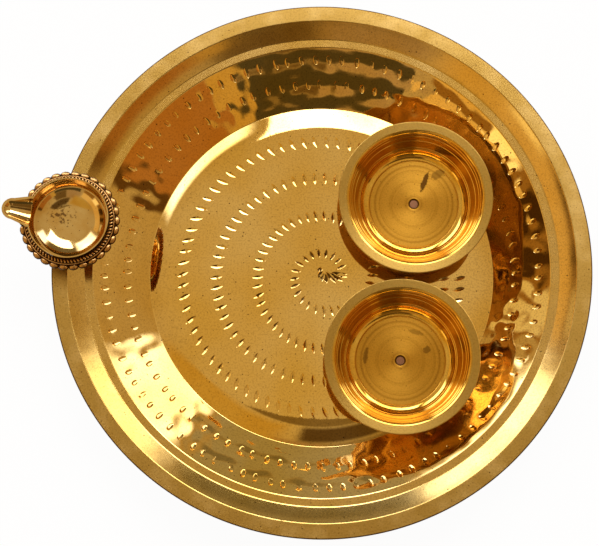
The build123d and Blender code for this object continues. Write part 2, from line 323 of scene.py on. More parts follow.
def tray_brass():
    material, tree = start_material("polished_spun_brass")
    place = add_node(tree, "ShaderNodeTexCoord").outputs["Object"]
    radius = axis_distance(tree, place)
    # How satin each zone is: ledge, hollow band and lip, each from its inner edge outwards.
    satin = 0.0
    for inner, change in ((LEDGE_INNER, 0.50), (LEDGE_OUTER, -0.10), (LIP_INNER, 0.60)):
        step = add_node(tree, "ShaderNodeMapRange",
                        {0: radius, 1: inner - 0.3, 2: inner + 0.3, 4: change}).outputs[0]
        satin = add_node(tree, "ShaderNodeMath", {0: satin, 1: step}, operation="ADD").outputs[0]
    tone = drifting_tone(tree, place, 45, 2.0, AMBER_BRASS, PALE_BRASS)
    smudge = add_node(tree, "ShaderNodeTexNoise", {"Vector": place, "Scale": 1 / (12 * MM), "Detail": 4.0})
    worn = add_node(tree, "ShaderNodeMapRange", {0: smudge.outputs[0], 1: 0.45, 2: 0.70}).outputs[0]
    handled = add_node(tree, "ShaderNodeMix", {0: worn, 6: linear(SATIN_BRASS), 7: linear(WORN_BRASS)},
                       data_type="RGBA").outputs[2]
    tone = add_node(tree, "ShaderNodeMix", {0: satin, 6: tone, 7: handled}, data_type="RGBA").outputs[2]
    # The skin of fine specks is drawn coarser than real, so that it shows in the picture.
    grain = add_node(tree, "ShaderNodeTexNoise", {"Vector": place, "Scale": 1 / (0.9 * MM), "Detail": 3.0})
    specks = add_node(tree, "ShaderNodeMapRange", {0: grain.outputs[0], 1: 0.45, 2: 0.75, 4: 0.30}).outputs[0]
    dirt = add_node(tree, "ShaderNodeMath", {0: spots(tree, place, 3.4, 0.9, 0.35),
                                             1: spots(tree, place, 1.5, 0.5, 0.30)}, operation="MAXIMUM")
    dirt = add_node(tree, "ShaderNodeMath", {0: dirt.outputs[0], 1: 0.8, 2: specks}, operation="MULTIPLY_ADD")
    # Painted shade: the outer edge of the rim is painted dark, for the dark line that its rounded edge shows.
    edge = add_node(tree, "ShaderNodeMapRange",
                    {0: radius, 1: rim_radius - RIM_SHADE_BEGIN, 2: rim_radius - RIM_SHADE_FULL, 4: 0.95}).outputs[0]
    under = facing_down(tree)
    # The cuts of the flat floor are darker towards their bottoms, and the innermost ones more.
    depth = add_node(tree, "ShaderNodeSeparateXYZ", {0: place}).outputs["Z"]
    for reach, begin, full in DARKENED_CUTS:
        cut_dark = add_node(tree, "ShaderNodeMapRange",
                          {0: depth, 1: (FLOOR_Z - begin) * MM, 2: (FLOOR_Z - full) * MM, 4: 0.9}).outputs[0]
        for value, outside, inside in ((radius, reach, reach - 0.5), (under, 1.0, 0.0)):
            keep = add_node(tree, "ShaderNodeMapRange", {0: value, 1: outside, 2: inside}).outputs[0]
            cut_dark = add_node(tree, "ShaderNodeMath", {0: cut_dark, 1: keep}, operation="MULTIPLY").outputs[0]
        dirt = add_node(tree, "ShaderNodeMath", {0: dirt.outputs[0], 1: cut_dark}, operation="MAXIMUM")
    # The dark skin sums up dirt, the dull underside and the painted shade of the rim's edge.
    skin = add_node(tree, "ShaderNodeMath", {0: under, 1: 0.35, 2: dirt.outputs[0]}, operation="MULTIPLY_ADD")
    skin = add_node(tree, "ShaderNodeMath", {0: skin.outputs[0], 1: edge}, operation="MAXIMUM").outputs[0]
    colour = add_node(tree, "ShaderNodeMix", {0: skin, 6: tone, 7: linear(TARNISH_AND_SHADE)}, data_type="RGBA")
    smudge = add_node(tree, "ShaderNodeMapRange", {0: smudge.outputs[0], 3: 0.01, 4: 0.06}).outputs[0]
    dull = add_node(tree, "ShaderNodeMath", {0: satin, 1: under}, operation="MAXIMUM").outputs[0]
    rough = add_node(tree, "ShaderNodeMath", {0: dull, 1: 0.30, 2: smudge}, operation="MULTIPLY_ADD")
    on_wall = add_node(tree, "ShaderNodeMapRange",
                       {0: radius, 1: WALL_INNER - 1, 2: WALL_INNER + 1, 3: 0.35, 4: 1.0}).outputs[0]
    waves = add_node(tree, "ShaderNodeTexNoise", {"Vector": place, "Scale": 1 / (14 * MM), "Detail": 1.0})
    finish_metal(tree, colour.outputs[2], rough.outputs[0],
                 ((waves.outputs[0], on_wall, 0.10), (grain.outputs[0], 0.5, 0.006)))
    return material


brass_tray = tray_brass()
print("material:", brass_tray.name)

# %% [markdown]
# ## Brass of the bowls
#
# The bowls are turned on a lathe from a thicker casting. The tool leaves fine rings round the
# axis, which stretch every highlight into a fan, so the shader is anisotropic away from the axis.
# The lip is satin, the wall is bright, and the floor keeps a dull amber skin with stains from
# the powders that were kept there. The sunk seat round the rivet is darkened. The outside is as
# dull as it was cast. The rings are drawn about a millimetre apart, coarser than real ones, so
# that they show in the picture.

# %% Bowl brass
BOWL_THROAT, BOWL_FLOOR_RADIUS, SEAT_RADIUS = 33.3, 23.5, 2.35


def bowl_brass(name, centre, stains):
    material, tree = start_material(name)
    place = add_node(tree, "ShaderNodeTexCoord").outputs["Object"]
    place = add_node(tree, "ShaderNodeMapping", {0: place, 1: -centre * MM}).outputs[0]
    radius = axis_distance(tree, place)
    tone = drifting_tone(tree, place, 14, 4.0, "#DFA83D", "#E9BE5E")
    on_lip = add_node(tree, "ShaderNodeMapRange",
                      {0: radius, 1: BOWL_THROAT + 0.9, 2: BOWL_THROAT + 1.9}).outputs[0]
    on_floor = add_node(tree, "ShaderNodeMapRange",
                        {0: radius, 1: BOWL_FLOOR_RADIUS, 2: BOWL_FLOOR_RADIUS - 0.6}).outputs[0]
    outside = facing_down(tree)
    # The tool's pressure changed from ring to ring, and the skin on the floor is darker in some.
    bands = add_node(tree, "ShaderNodeTexNoise", {"W": radius, "Scale": 1 / 2.6, "Detail": 2.0},
                     noise_dimensions="1D").outputs[0]
    bands = add_node(tree, "ShaderNodeMapRange", {0: bands, 1: 0.50, 2: 0.72, 4: 0.45}).outputs[0]
    bands = add_node(tree, "ShaderNodeMath", {0: bands, 1: on_floor}, operation="MULTIPLY").outputs[0]
    for zone, zone_tone in ((on_lip, SATIN_BRASS), (on_floor, "#C29034"), (outside, "#D2B684")):
        tone = add_node(tree, "ShaderNodeMix", {0: zone, 6: tone, 7: linear(zone_tone)},
                        data_type="RGBA").outputs[2]
    grain = add_node(tree, "ShaderNodeTexNoise", {"Vector": place, "Scale": 1 / (0.8 * MM), "Detail": 3.0})
    specks = add_node(tree, "ShaderNodeMapRange", {0: grain.outputs[0], 1: 0.45, 2: 0.75, 4: 0.25}).outputs[0]
    dirt = add_node(tree, "ShaderNodeMath", {0: spots(tree, place, 2.2, 0.7, 0.35), 1: 0.6, 2: specks},
                    operation="MULTIPLY_ADD").outputs[0]
    # Inside the rivet's seat, out to the middle of its bevel, the bowl is darkened.
    seat = add_node(tree, "ShaderNodeMapRange",
                    {0: radius, 1: SEAT_RADIUS + 0.55, 2: SEAT_RADIUS + 0.35, 4: 0.95}).outputs[0]
    dirt = add_node(tree, "ShaderNodeMath", {0: dirt, 1: seat}, operation="MAXIMUM").outputs[0]
    ragged = add_node(tree, "ShaderNodeTexNoise", {"Vector": place, "Scale": 1 / (1.2 * MM), "Detail": 3.0})
    for x, y, turn, length, width, depth in stains:
        local = add_node(tree, "ShaderNodeMapping",
                         {0: place, 1: Vector((x, y, 0)) * MM, 2: (0, 0, math.radians(turn)),
                          3: (length * MM / 2, width * MM / 2, 1)}, vector_type="TEXTURE").outputs[0]
        local = add_node(tree, "ShaderNodeVectorMath", {0: local, 1: (1, 1, 0)}, operation="MULTIPLY")
        spread = add_node(tree, "ShaderNodeVectorMath", {0: local.outputs[0]}, operation="LENGTH").outputs[1]
        spread = add_node(tree, "ShaderNodeMath", {0: ragged.outputs[0], 1: 1.4, 2: spread},
                          operation="MULTIPLY_ADD").outputs[0]
        stain = add_node(tree, "ShaderNodeMapRange", {0: spread, 1: 1.75, 2: 1.4, 4: depth}).outputs[0]
        dirt = add_node(tree, "ShaderNodeMath", {0: dirt, 1: stain}, operation="MAXIMUM").outputs[0]
    tone = add_node(tree, "ShaderNodeMix", {0: bands, 6: tone, 7: linear("#7A4A10")},
                    data_type="RGBA").outputs[2]
    colour = add_node(tree, "ShaderNodeMix", {0: dirt, 6: tone, 7: linear(TARNISH_AND_SHADE)}, data_type="RGBA")
    satin = add_node(tree, "ShaderNodeMath", {0: on_lip, 1: on_floor}, operation="MAXIMUM").outputs[0]
    satin = add_node(tree, "ShaderNodeMath", {0: outside, 1: 0.6, 2: satin},
                     operation="MULTIPLY_ADD").outputs[0]
    rough = add_node(tree, "ShaderNodeMath", {0: satin, 1: 0.22, 2: 0.07}, operation="MULTIPLY_ADD")
    rings = add_node(tree, "ShaderNodeTexWave",
                     {"Vector": place, "Scale": math.tau / 20 / (1.1 * MM), "Distortion": 0.8,
                      "Detail": 2.0, "Detail Scale": 0.02}, wave_type="RINGS", rings_direction="Z")
    outward = add_node(tree, "ShaderNodeVectorMath", {0: place, 1: (1, 1, 0)},
                       operation="MULTIPLY").outputs[0]
    outward = add_node(tree, "ShaderNodeVectorMath", {0: outward}, operation="NORMALIZE").outputs[0]
    outward = add_node(tree, "ShaderNodeVectorTransform", {0: outward}, vector_type="VECTOR",
                       convert_from="OBJECT", convert_to="WORLD").outputs[0]
    finish_metal(tree, colour.outputs[2], rough.outputs[0],
                 ((rings.outputs[1], 0.35, 0.01), (grain.outputs[0], 0.5, 0.012)),
                 Anisotropic=0.6, Tangent=outward)
    return material


BOWL_STAINS = {
    # x and y from the bowl's axis, turn, length, width (mm and degrees), depth of the stain
    "upper_bowl": ((5.6, 11.4, 68, 11.5, 3.2, 0.92), (12.5, 15.5, 35, 9.0, 5.0, 0.55)),
    "lower_bowl": ((-17.5, 2.5, 80, 10.0, 2.6, 0.60), (13.5, 5.6, 40, 4.5, 4.0, 0.60),
                   (8.0, 14.5, -18, 9.0, 2.6, 0.45)),
}
bowl_metals = {name: bowl_brass(f"turned_brass_{name}", centre, BOWL_STAINS[name])
               for name, centre in bowl_places.items()}
print("materials:", [metal.name for metal in bowl_metals.values()])

# %% [markdown]
# ## Bronze of the lamp, and the small metals
#
# The lamp is cast bronze with more copper than the tray, so it is pinker, and its cup is
# polished to a mirror with faint turning rings. The collar is the same casting left rough: its
# hollows keep a dark brown skin, and an attribute of the mesh adds painted shade on the sides of
# its grains and petals and a painted highlight on their tops. The rivets are copper, hammered
# flat. The washers and the screw below are plain brass that nobody polished.


# %% Lamp bronze and small metals
BURNT_PLACE = Vector((-5.0, 4.0, 0))


def lamp_bronze(centre):
    material, tree = start_material("polished_cast_bronze")
    place = add_node(tree, "ShaderNodeTexCoord").outputs["Object"]
    place = add_node(tree, "ShaderNodeMapping", {0: place, 1: -centre * MM}).outputs[0]
    tone = drifting_tone(tree, place, 9, 3.0, "#D2AC6A", "#E0C590")
    # Oil burnt on at one side of the dish: a ragged patch of brown flecks, thinner further out.
    burnt = add_node(tree, "ShaderNodeMapping", {0: place, 1: -BURNT_PLACE * MM}).outputs[0]
    burnt = add_node(tree, "ShaderNodeMapRange",
                     {0: axis_distance(tree, burnt), 1: 11.0, 2: 1.0, 4: 0.34}).outputs[0]
    crumbs = add_node(tree, "ShaderNodeTexNoise", {"Vector": place, "Scale": 1 / (1.3 * MM), "Detail": 4.0})
    burnt = add_node(tree, "ShaderNodeMath", {0: crumbs.outputs[0], 1: burnt}, operation="ADD").outputs[0]
    burnt = add_node(tree, "ShaderNodeMapRange", {0: burnt, 1: 0.74, 2: 0.88, 4: 0.8}).outputs[0]
    dirt = add_node(tree, "ShaderNodeMath", {0: spots(tree, place, 2.0, 0.7, 0.3), 1: 0.7, 2: burnt},
                    operation="MULTIPLY_ADD")
    colour = add_node(tree, "ShaderNodeMix", {0: dirt.outputs[0], 6: tone, 7: linear("#5A371C")},
                      data_type="RGBA")
    rings = add_node(tree, "ShaderNodeTexWave",
                     {"Vector": place, "Scale": math.tau / 20 / (1.2 * MM), "Distortion": 0.6},
                     wave_type="RINGS", rings_direction="Z")
    grain = add_node(tree, "ShaderNodeTexNoise", {"Vector": place, "Scale": 1 / (1.1 * MM), "Detail": 3.0})
    finish_metal(tree, colour.outputs[2], 0.08,
                 ((rings.outputs[1], 0.25, 0.01), (grain.outputs[0], 0.5, 0.015)))
    return material


def rubbed_metal(name, bright, dark, roughness, grit):
    """Unpolished metal: a skin, dark in patches and as far as the mesh's hollow attribute says, bright
    elsewhere; on the collar that attribute holds patina, painted shade and a painted highlight.
    """
    material, tree = start_material(name)
    place = add_node(tree, "ShaderNodeTexCoord").outputs["Object"]
    patches = add_node(tree, "ShaderNodeTexNoise", {"Vector": place, "Scale": 1 / (grit * MM), "Detail": 3.0})
    # On the collar the hollow attribute holds patina, painted shade on the sides and a painted highlight on
    # the tops.
    hollow = add_node(tree, "ShaderNodeAttribute", attribute_name="hollow").outputs["Fac"]
    skin = add_node(tree, "ShaderNodeMath", {0: patches.outputs[0], 1: 0.7, 2: hollow},
                    operation="MULTIPLY_ADD").outputs[0]
    skin = add_node(tree, "ShaderNodeMapRange", {0: skin, 1: 0.35, 2: 0.95}).outputs[0]
    colour = add_node(tree, "ShaderNodeMix", {0: skin, 6: linear(bright), 7: linear(dark)}, data_type="RGBA")
    finish_metal(tree, colour.outputs[2], roughness, ((patches.outputs[0], 0.6, 0.03),))
    return material


bronze_cup = lamp_bronze(lamp_place)
# The collar's dark tone is its patina and the painted shade, and its bright tone is the painted highlight on
# the tops.
bronze_collar = rubbed_metal("cast_bronze_with_brown_skin_and_painted_shade", "#C79A62", "#38220F", 0.30, 0.9)
copper_rivet = rubbed_metal("hammered_copper", "#8E6650", "#4A3024", 0.32, 0.8)
washer_brass = rubbed_metal("stamped_brass", "#D9B25E", "#7A5722", 0.34, 1.2)
screw_brass = rubbed_metal("turned_screw_brass", "#DDB866", "#6E4E20", 0.28, 1.0)
print("materials:", [m.name for m in (bronze_cup, bronze_collar, copper_rivet, washer_brass, screw_brass)])

# %% [markdown]
# ## A lathe and a bench
#
# Nearly every piece here is round, so one helper works as a lathe: it spins a section round a
# standing axis. Round stretches of a section come from a second helper, and turned grooves from
# a third. The rest is a bench: it copies small balls, cuts and joins bodies, and sends a finished
# bmesh to an object with smooth shading that still breaks at real corners. Weighted normals keep
# the flat parts flat beside their small rounds. A mesh operator looks through the whole mesh each
# time it runs, so hundreds of balls are copied point by point from one, which is much faster.


# %% Lathe helpers
# Points closer than this, in millimetres, are welded.
WELD = 0.002


def arc(start, end, rise, count):
    """Points of a round stretch from start to end, bulging by rise to the left of the way."""
    start, end = Vector(start), Vector(end)
    chord = end - start
    radius = (chord.length ** 2 / 4 + rise ** 2) / (2 * abs(rise))
    half = math.asin(min(1.0, chord.length / 2 / radius))
    along = chord.normalized()
    across = Vector((-along.y, along.x)) * math.copysign(1, rise)
    centre = (start + end) / 2 - across * (radius - abs(rise))
    turns = [half * (2 * step / count - 1) for step in range(count + 1)]
    return [tuple(centre + along * radius * math.sin(t) + across * radius * math.cos(t)) for t in turns]


def tangent_rise(start, end, lean):
    """Rise of the arc that leaves the way from start to end at a lean, in radians, at either end."""
    return (Vector(end) - Vector(start)).length / 2 * math.tan(lean / 2)


def grooved(start, end, shares, width, depth):
    """Straight stretch with V grooves at shares of the way; a groove sinks to the right of it."""
    start, end = Vector(start), Vector(end)
    along = (end - start).normalized()
    into = Vector((along.y, -along.x))
    points = [tuple(start)]
    for share in shares:
        middle = start.lerp(end, share)
        points += [tuple(middle - along * width / 2), tuple(middle + into * depth),
                   tuple(middle + along * width / 2)]
    return points + [tuple(end)]


def spin_line(bm, points, centre, axis, steps, weld):
    """Spin a line of points one full turn, and weld those that are closer than a distance."""
    verts = [bm.verts.new(point) for point in points]
    edges = [bm.edges.new(pair) for pair in zip(verts, verts[1:])]
    bmesh.ops.spin(bm, geom=verts + edges, cent=centre, axis=axis, angle=math.tau, steps=steps,
                   use_merge=True)
    bmesh.ops.remove_doubles(bm, verts=bm.verts[:], dist=weld)


def turn_section(bm, section, centre, steps):
    """Spin (radius, height) points in millimetres round a standing axis."""
    foot = Vector((centre.x, centre.y, 0)) * MM
    points = [foot + Vector((radius, 0, z)) * MM for radius, z in section]
    spin_line(bm, points, foot, (0, 0, 1), steps, WELD * MM)


# %% Bench helpers
def ball_pattern(sides):
    """Points and faces of a round ball of radius 1, as plain lists."""
    bm = bmesh.new()
    bmesh.ops.create_uvsphere(bm, u_segments=sides, v_segments=8, radius=1)
    bm.verts.index_update()
    points = [vert.co.copy() for vert in bm.verts]
    faces = [[vert.index for vert in face.verts] for face in bm.faces]
    bm.free()
    return points, faces


def add_ball(bm, pattern):
    """Copy of a ball in a bmesh; returns its new points, still round."""
    points, faces = pattern
    verts = [bm.verts.new(point) for point in points]
    for face in faces:
        bm.faces.new([verts[index] for index in face])
    return verts


def add_pin(bm, place, z, radius, depth):
    """Standing pin that drills a hole, with its middle at a height; all in millimetres."""
    stand = Matrix.Translation((place + Vector((0, 0, z))) * MM)
    bmesh.ops.create_cone(bm, cap_ends=True, segments=32, depth=depth * MM, radius1=radius * MM,
                          radius2=radius * MM, matrix=stand)


def ring_edges(bm, radius, z, near=0.02):
    """Edges of the circle round the tray's axis at a radius and a height, in millimetres."""
    def on_ring(vert):
        return abs(vert.co.xy.length / MM - radius) < near and abs(vert.co.z / MM - z) < near
    return [edge for edge in bm.edges if all(on_ring(vert) for vert in edge.verts)]


def smooth_piece(piece, corner):
    piece.data.shade_smooth()
    piece.data.set_sharp_from_angle(angle=math.radians(corner))


def finish_piece(bm, name, material, corner=30):
    """Object from a bmesh: normals out, smooth shading that breaks at corners."""
    bmesh.ops.recalc_face_normals(bm, faces=bm.faces[:])
    mesh = bpy.data.meshes.new(name)
    bm.to_mesh(mesh)
    bm.free()
    mesh.materials.append(material)
    piece = bpy.data.objects.new(name, mesh)
    scene.collection.objects.link(piece)
    smooth_piece(piece, corner)
    return piece


def cut_and_join(piece, tools):
    """Apply boolean steps, given as (operation, tool object), and throw the tools away."""
    for operation, tool in tools:
        step = piece.modifiers.new(operation.lower(), "BOOLEAN")
        step.operation = operation
        step.object = tool
        step.solver = "MANIFOLD"
    depsgraph = bpy.context.evaluated_depsgraph_get()
    mesh = bpy.data.meshes.new_from_object(piece.evaluated_get(depsgraph))
    piece.modifiers.clear()
    worn_out, piece.data = piece.data, mesh
    bpy.data.meshes.remove(worn_out)
    mesh.name = piece.name
    for _, tool in tools:
        bpy.data.meshes.remove(tool.data)


def weigh_normals(piece):
    weigh = piece.modifiers.new("flat faces stay flat", "WEIGHTED_NORMAL")
    weigh.keep_sharp = True


# %% [markdown]
# ## The tray
#
# A spinner presses one disc of sheet brass over a turning form: a floor that is flat but for its
# border, a shoulder that falls to a gutter, a wall, a narrow ledge, a hollow band and a flat lip.
# So the mesh is made the same way, as the top skin of the section, turned and then given the
# sheet's thickness. Two rows of dents were then struck into the wall with a round punch. Each
# blow sank the sheet round it and left low ripples between, which is why reflections break up
# there, so the wall is sunk and rippled before the sheet gets thick.

# %% Dent places
SHEET = 1.2
FLOOR_RADIUS = 77.0
GUTTER_Z, GUTTER_RADIUS = 1.05, 87.9
LEDGE_Z = 21.6
WALL_SLOPE = math.atan2(LEDGE_Z - GUTTER_Z, LEDGE_INNER - GUTTER_RADIUS)
WALL_OUT = Vector((-math.sin(WALL_SLOPE), math.cos(WALL_SLOPE)))
# Distance of a row of dents from the axis in millimetres, its count, and its turn in steps.
DENT_ROWS = ((98.6, 88, 0.0), (109.4, 96, 0.4))

chance = random.Random(7)
dents = []
for row_radius, row_count, phase in DENT_ROWS:
    row_z = GUTTER_Z + (row_radius - GUTTER_RADIUS) * math.tan(WALL_SLOPE)
    for step in range(row_count):
        bearing = math.tau * (step + phase + chance.uniform(-0.14, 0.14)) / row_count
        way = Vector((math.cos(bearing), math.sin(bearing), 0))
        dents.append((bearing, way * row_radius + Vector((0, 0, row_z))))
near_dents = KDTree(len(dents))
for index, (_, centre) in enumerate(dents):
    near_dents.insert(centre, index)
near_dents.balance()
print("dents:", len(dents))

# %% Tray
CROWN_FALL = 0.30
BAND_HOLLOW = 0.20
RIPPLE_DEPTH, RIPPLE_LENGTH = 0.25, 6.8
SINK_DEPTH, SINK_REACH = 0.18, 2.4
# The wall's dents fade out towards its two ends, and a margin there stays as it was spun.
WALL_FADE, FOOT_MARGIN, TOP_MARGIN = 4.0, 1.0, 0.5
FLOOR_RING_STEP, CROWN_STEPS, WALL_STEPS, TURN_STEPS = 23, 4, 26, 360
ORIGIN = Vector((0, 0, 0))
ROUNDED_CORNERS = (
    # distance from the axis, height, width of the round
    (LEDGE_INNER, LEDGE_Z, 0.45), (LEDGE_OUTER, LEDGE_Z, 0.40), (LIP_INNER, tray_height, 0.40),
    (GUTTER_RADIUS, GUTTER_Z, 0.30), (rim_radius, tray_height, 0.55), (rim_radius, tray_height - SHEET, 0.45),
)

floor_rings = [(radius, FLOOR_Z) for radius in range(0, int(CROWN_RADIUS), FLOOR_RING_STEP)]
for step in range(CROWN_STEPS):
    share = step / CROWN_STEPS
    ring_radius = CROWN_RADIUS + (FLOOR_RADIUS - CROWN_RADIUS) * share
    floor_rings.append((ring_radius, FLOOR_Z - CROWN_FALL * share ** 2))
shoulder_ends = (FLOOR_RADIUS, FLOOR_Z - CROWN_FALL), (GUTTER_RADIUS, GUTTER_Z)
crown_lean = math.atan2(2 * CROWN_FALL, FLOOR_RADIUS - CROWN_RADIUS)
shoulder_lean = math.atan2(FLOOR_Z - CROWN_FALL - GUTTER_Z, GUTTER_RADIUS - FLOOR_RADIUS) - crown_lean
shoulder = arc(*shoulder_ends, tangent_rise(*shoulder_ends, shoulder_lean), 9)
wall_foot, wall_top = Vector((GUTTER_RADIUS, GUTTER_Z)), Vector((LEDGE_INNER, LEDGE_Z))
wall = [tuple(wall_foot.lerp(wall_top, step / WALL_STEPS)) for step in range(1, WALL_STEPS)]
band = arc((LEDGE_OUTER, LEDGE_Z), (LIP_INNER, tray_height), -BAND_HOLLOW, 8)
skin = floor_rings + shoulder + wall + [tuple(wall_top)] + band + [(rim_radius, tray_height)]

bm = bmesh.new()
turn_section(bm, skin, ORIGIN, TURN_STEPS)
bmesh.ops.recalc_face_normals(bm, faces=bm.faces[:])
if bm.faces[0].normal.z < 0:
    bmesh.ops.reverse_faces(bm, faces=bm.faces[:])
for vert in bm.verts:
    point = vert.co / MM
    radius = point.xy.length
    if GUTTER_RADIUS + FOOT_MARGIN < radius < LEDGE_INNER - TOP_MARGIN:
        lift = RIPPLE_DEPTH * noise.noise(point / RIPPLE_LENGTH)
        for _, _, gap in near_dents.find_range(point, 3 * SINK_REACH):
            lift -= SINK_DEPTH * math.exp(-(gap / SINK_REACH) ** 2 / 2)
        lift *= min(1, (radius - GUTTER_RADIUS) / WALL_FADE, (LEDGE_INNER - radius) / WALL_FADE)
        outward = point.xy.normalized() * WALL_OUT.x
        vert.co += Vector((outward.x, outward.y, WALL_OUT.y)) * lift * MM
bmesh.ops.solidify(bm, geom=bm.faces[:], thickness=SHEET * MM)
for radius, z, width in ROUNDED_CORNERS:
    bmesh.ops.bevel(bm, geom=ring_edges(bm, radius, z), offset=width * MM, offset_type="OFFSET",
                    affect="EDGES", segments=4, profile=0.5, material=-1, clamp_overlap=True)
for vert in bm.verts:
    vert.co.z = max(vert.co.z, 0)
tray = finish_piece(bm, "tray", brass_tray)
print("tray faces:", len(tray.data.polygons), "lowest, highest (mm):",
      [round(f(v.co.z for v in tray.data.vertices) / MM, 3) for f in (min, max)])

# %% [markdown]
# ## The chiselled marks
#
# The floor is decorated with one chain of chisel cuts. It starts in a small rosette beside the
# middle, winds outwards in four turns and ends as a ring near the shoulder. Each cut is a boat:
# a shallow trough with pointed ends, one side bright and the other dark. Bump could fake them,
# but a real cut throws real light, so every cut and dent is a small body, and one boolean takes
# them all out of the sheet. The cuts are so shallow that smooth shading would blur them away, so
# on the floor even a slight turn between two faces counts as a corner. The innermost cuts were
# struck hardest, and are darkest towards their bottoms.

# %% Mark tools
# Turn along the chain in degrees, and its distance from the axis in millimetres.
SPIRAL = ((0, 10.6), (90, 11.3), (130, 11.0), (180, 13.6), (234, 16.5), (290, 20.0), (368, 27.0),
          (446, 30.5), (500, 31.2), (540, 32.4), (594, 36.2), (625, 38.2), (725, 45.0), (799, 50.0),
          (850, 51.2), (900, 53.8), (985, 54.6), (1080, 63.0), (1156, 69.4), (1260, 71.0), (1440, 70.8))
MARK_LENGTH, MARK_WIDTH, MARK_DEPTH = 6.4, 2.1, 0.38
INNER_DEPTH_SHARE = 1.25
# How far the cuts lean, in degrees: the most, the distance from the axis where it begins, its stretch.
MARK_LEANS = ((7, SPIRAL[0][1], 20), (14, 56, 10))
MARK_SIZE, MARK_SIZE_GAIN = 0.84, 0.24
MARK_SPACING, SPACING_PER_RADIUS = 3.2, 0.039
DENT_LEAN = 7
DENT_LENGTH, DENT_WIDTH, DENT_DEPTH = 5.4, 2.9, 0.50
ROSETTE_HUB, ROSETTE_WIDTH, ROSETTE_DEPTH = Vector((1.2, 2.5, FLOOR_Z)), 2.5, 0.52
# Bearing of each stroke of the rosette in degrees, and its start and end from the hub.
ROSETTE = ((180, 0.4, 3.4), (235, 0.9, 5.2), (261, 1.3, 6.4), (282, 1.6, 7.4), (313, 1.2, 9.8),
           (328, 3.0, 11.6), (342, 4.0, 12.8))
# A pointed cutter's flanks are moved up and out by these shares; every cutter stands a little proud.
FLANK_UP, FLANK_OUT, CUTTER_RISE = 0.5, 1.2, 0.03
RIVET_BORE, SCREW_BORE = 1.30, 1.55
CUT_BALL, DENT_BALL = ball_pattern(8), ball_pattern(10)


def chain_radius(turn):
    for (start, near), (stop, far) in zip(SPIRAL, SPIRAL[1:]):
        if turn <= stop:
            return near + (far - near) * (turn - start) / (stop - start)
    return SPIRAL[-1][1]


def mark_axes(bearing, slope, lean):
    """Axes of a mark at a bearing: along its length, across it, and out of the surface."""
    return (Matrix.Rotation(bearing, 3, "Z") @ Matrix.Rotation(-slope, 3, "Y")
            @ Matrix.Rotation(lean, 3, "Z"))


def add_mark(bm, centre, axes, length, width, depth, pointed):
    """Cutter for one mark: a spindle whose lower half is sunk in the surface.

    A pointed one is a V with short steep edges, and the other kind is round.
    """
    for vert in add_ball(bm, CUT_BALL if pointed else DENT_BALL):
        x, y, z = vert.co
        slim = math.sqrt(max(0.0, 1 - z * z)) if pointed else 1.0
        if pointed and min(abs(x), abs(y)) > 0.0001:
            x, y = FLANK_UP * x, FLANK_OUT * y
        local = Vector((z * length / 2, y * slim * width / 2, x * slim * depth + CUTTER_RISE))
        vert.co = (centre + axes @ local) * MM


print("turns of the chain:", SPIRAL[-1][0] / 360, "strokes of the rosette:", len(ROSETTE))

# %% Marks
bm = bmesh.new()
turn = SPIRAL[0][0]
cut_count = 0
while turn <= SPIRAL[-1][0]:
    radius = chain_radius(turn)
    bearing = math.radians(turn)
    fall = CROWN_FALL * max(0, (radius - CROWN_RADIUS) / (FLOOR_RADIUS - CROWN_RADIUS)) ** 2
    centre = Vector((radius * math.cos(bearing), radius * math.sin(bearing), FLOOR_Z - fall))
    lean = sum(most * min(1, max(0, (radius - start) / stretch)) for most, start, stretch in MARK_LEANS)
    lean = math.radians(lean + chance.uniform(-4, 4))
    size = (MARK_SIZE + MARK_SIZE_GAIN * radius / SPIRAL[-1][1]) * chance.uniform(0.93, 1.07)
    add_mark(bm, centre, mark_axes(bearing, 0, lean), MARK_LENGTH * size, MARK_WIDTH * size,
             MARK_DEPTH * size * (INNER_DEPTH_SHARE if radius < INNER_REACH else 1), True)
    turn += math.degrees((MARK_SPACING + SPACING_PER_RADIUS * radius) / radius) * chance.uniform(0.94, 1.06)
    cut_count += 1
for bearing, inner, outer in ROSETTE:
    bearing = math.radians(bearing)
    centre = ROSETTE_HUB + Vector((math.cos(bearing), math.sin(bearing), 0)) * (inner + outer) / 2
    add_mark(bm, centre, mark_axes(bearing, 0, 0), outer - inner, ROSETTE_WIDTH, ROSETTE_DEPTH, True)
    cut_count += 1
for bearing, centre in dents:
    lean = math.radians(DENT_LEAN + chance.uniform(-5, 5))
    add_mark(bm, centre, mark_axes(bearing, WALL_SLOPE, lean), DENT_LENGTH * chance.uniform(0.9, 1.1),
             DENT_WIDTH, DENT_DEPTH * chance.uniform(0.9, 1.2), False)
    cut_count += 1
for node, bore, z in (("upper_bowl_rivet", RIVET_BORE, FLOOR_Z), ("lower_bowl_rivet", RIVET_BORE, FLOOR_Z),
                      ("lamp_screw", SCREW_BORE, tray_height)):
    add_pin(bm, middle_of(node), z, bore, 3 * SHEET)
cutter = finish_piece(bm, "chisel_cuts", brass_tray)
cut_and_join(tray, [("DIFFERENCE", cutter)])
print("marks:", cut_count, "tray faces now:", len(tray.data.polygons))

# %% Corners of the tray
FLOOR_CORNER, OTHER_CORNER = math.radians(4), math.radians(17)
SLIVER = 0.003

tray.data.shade_smooth()
bm = bmesh.new()
bm.from_mesh(tray.data)
bmesh.ops.dissolve_degenerate(bm, dist=SLIVER * MM, edges=bm.edges[:])
for edge in bm.edges:
    on_floor = all(vert.co.xy.length < FLOOR_RADIUS * MM and vert.co.z > (FLOOR_Z - SHEET / 2) * MM
                   for vert in edge.verts)
    edge.smooth = edge.calc_face_angle(0.0) < (FLOOR_CORNER if on_floor else OTHER_CORNER)
print("corner edges:", sum(not edge.smooth for edge in bm.edges))
bm.to_mesh(tray.data)
bm.free()
weigh_normals(tray)
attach(tray, "thali")
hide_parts("thali_plate")

